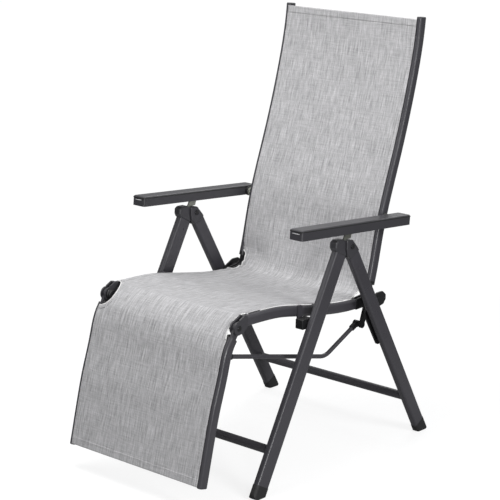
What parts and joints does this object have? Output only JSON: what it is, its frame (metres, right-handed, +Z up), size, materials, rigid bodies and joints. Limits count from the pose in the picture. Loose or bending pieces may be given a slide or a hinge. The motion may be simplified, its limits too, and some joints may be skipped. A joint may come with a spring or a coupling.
{
  "type": "reclining garden armchair",
  "caption": "Reclining garden armchair with a fabric sling on oval rails, a footrest linked to the back by rods, and arms that latch on pins.",
  "frame": {"origin": "on the floor, at the middle of the chair's footprint", "axes": "+Z up, +X to the sitter's left as they sit, -Y to the front, where the footrest is"},
  "size_m": [0.605, 0.9215, 1.1884],
  "materials": {
    "frame_coat": "satin",
    "black_plastic": "matte",
    "foot_rubber": "matte",
    "zinc_steel": "satin",
    "sling_cloth": "woven mesh"
  },
  "bodies": {
    "frame": {"front_leg_left": "frame_coat", "front_leg_right": "frame_coat", "rear_leg_left": "frame_coat", "rear_leg_right": "frame_coat", "front_feet": "foot_rubber", "rear_feet": "foot_rubber", "front_cross_tube": "frame_coat", "rear_cross_tube": "frame_coat", "leg_top_front": "black_plastic", "leg_top_rear": "black_plastic", "leg_joint_bolts": "zinc_steel", "latch_plates": "zinc_steel", "latch_pins": "zinc_steel", "seat_rail_left": "frame_coat", "seat_rail_right": "frame_coat", "seat_cross_front": "frame_coat", "seat_cross_rear": "frame_coat", "seat_front_fittings": "black_plastic", "seat_rear_fittings": "black_plastic", "knee_pins": "zinc_steel", "seat_hinge_pins": "zinc_steel", "seat_hinge_sleeves": "black_plastic", "hinge_plates": "black_plastic", "plate_spacers": "black_plastic", "plate_bolts": "zinc_steel", "seat_brackets": "frame_coat", "seat_rest_blocks": "black_plastic", "seat_rest_bolts": "zinc_steel", "seat_sling": "sling_cloth"},
    "back": {"back_rail_left": "frame_coat", "back_rail_right": "frame_coat", "back_cross_low": "frame_coat", "back_cross_top": "frame_coat", "back_caps": "black_plastic", "back_cranks": "black_plastic", "rod_pins_rear": "zinc_steel", "back_sling": "sling_cloth"},
    "footrest": {"footrest_rail_left": "frame_coat", "footrest_rail_right": "frame_coat", "footrest_cross": "frame_coat", "footrest_caps": "black_plastic", "footrest_lugs": "black_plastic", "footrest_ears": "black_plastic", "rod_pins_front": "zinc_steel", "footrest_sling": "sling_cloth"},
    "rods": {"rod_left": "frame_coat", "rod_right": "frame_coat", "rod_heads": "black_plastic"},
    "arm_hinges": {"arm_hinge_blocks": "black_plastic", "arm_pins": "zinc_steel"},
    "arm_left": {"arm_left": "frame_coat", "arm_crown_left": "frame_coat", "arm_rack_left": "black_plastic"},
    "arm_right": {"arm_right": "frame_coat", "arm_crown_right": "frame_coat", "arm_rack_right": "black_plastic"}
  },
  "joints": [
    {"name": "back_recline", "type": "hinge", "parent": "frame", "child": "back", "pos_m": [0, 0.2235, 0.43], "axis": [-1, 0, 0], "range_deg": [0, 45]},
    {"name": "footrest_swing", "type": "hinge", "parent": "frame", "child": "footrest", "pos_m": [0, -0.3245, 0.458], "axis": [-1, 0, 0], "range_deg": [0, 45]},
    {"name": "rod_swing", "type": "hinge", "parent": "footrest", "child": "rods", "pos_m": [0, -0.346, 0.383], "axis": [-1, 0, 0], "range_deg": [-45, 0]},
    {"name": "arm_hinge_turn", "type": "hinge", "parent": "back", "child": "arm_hinges", "pos_m": [0, 0.2785, 0.646], "axis": [1, 0, 0], "range_deg": [0, 30.57]},
    {"name": "arm_lift_left", "type": "hinge", "parent": "arm_hinges", "child": "arm_left", "pos_m": [0, 0.2785, 0.646], "axis": [-1, 0, 0], "range_deg": [0, 60]},
    {"name": "arm_lift_right", "type": "hinge", "parent": "arm_hinges", "child": "arm_right", "pos_m": [0, 0.2785, 0.646], "axis": [-1, 0, 0], "range_deg": [0, 60]}
  ],
  "couplings": [
    {"joint": "footrest_swing", "follows": "back_recline", "ratio": 1},
    {"joint": "rod_swing", "follows": "back_recline", "ratio": -1},
    {"joint": "arm_hinge_turn", "follows": "back_recline", "ratio": 0.6792}
  ]
}
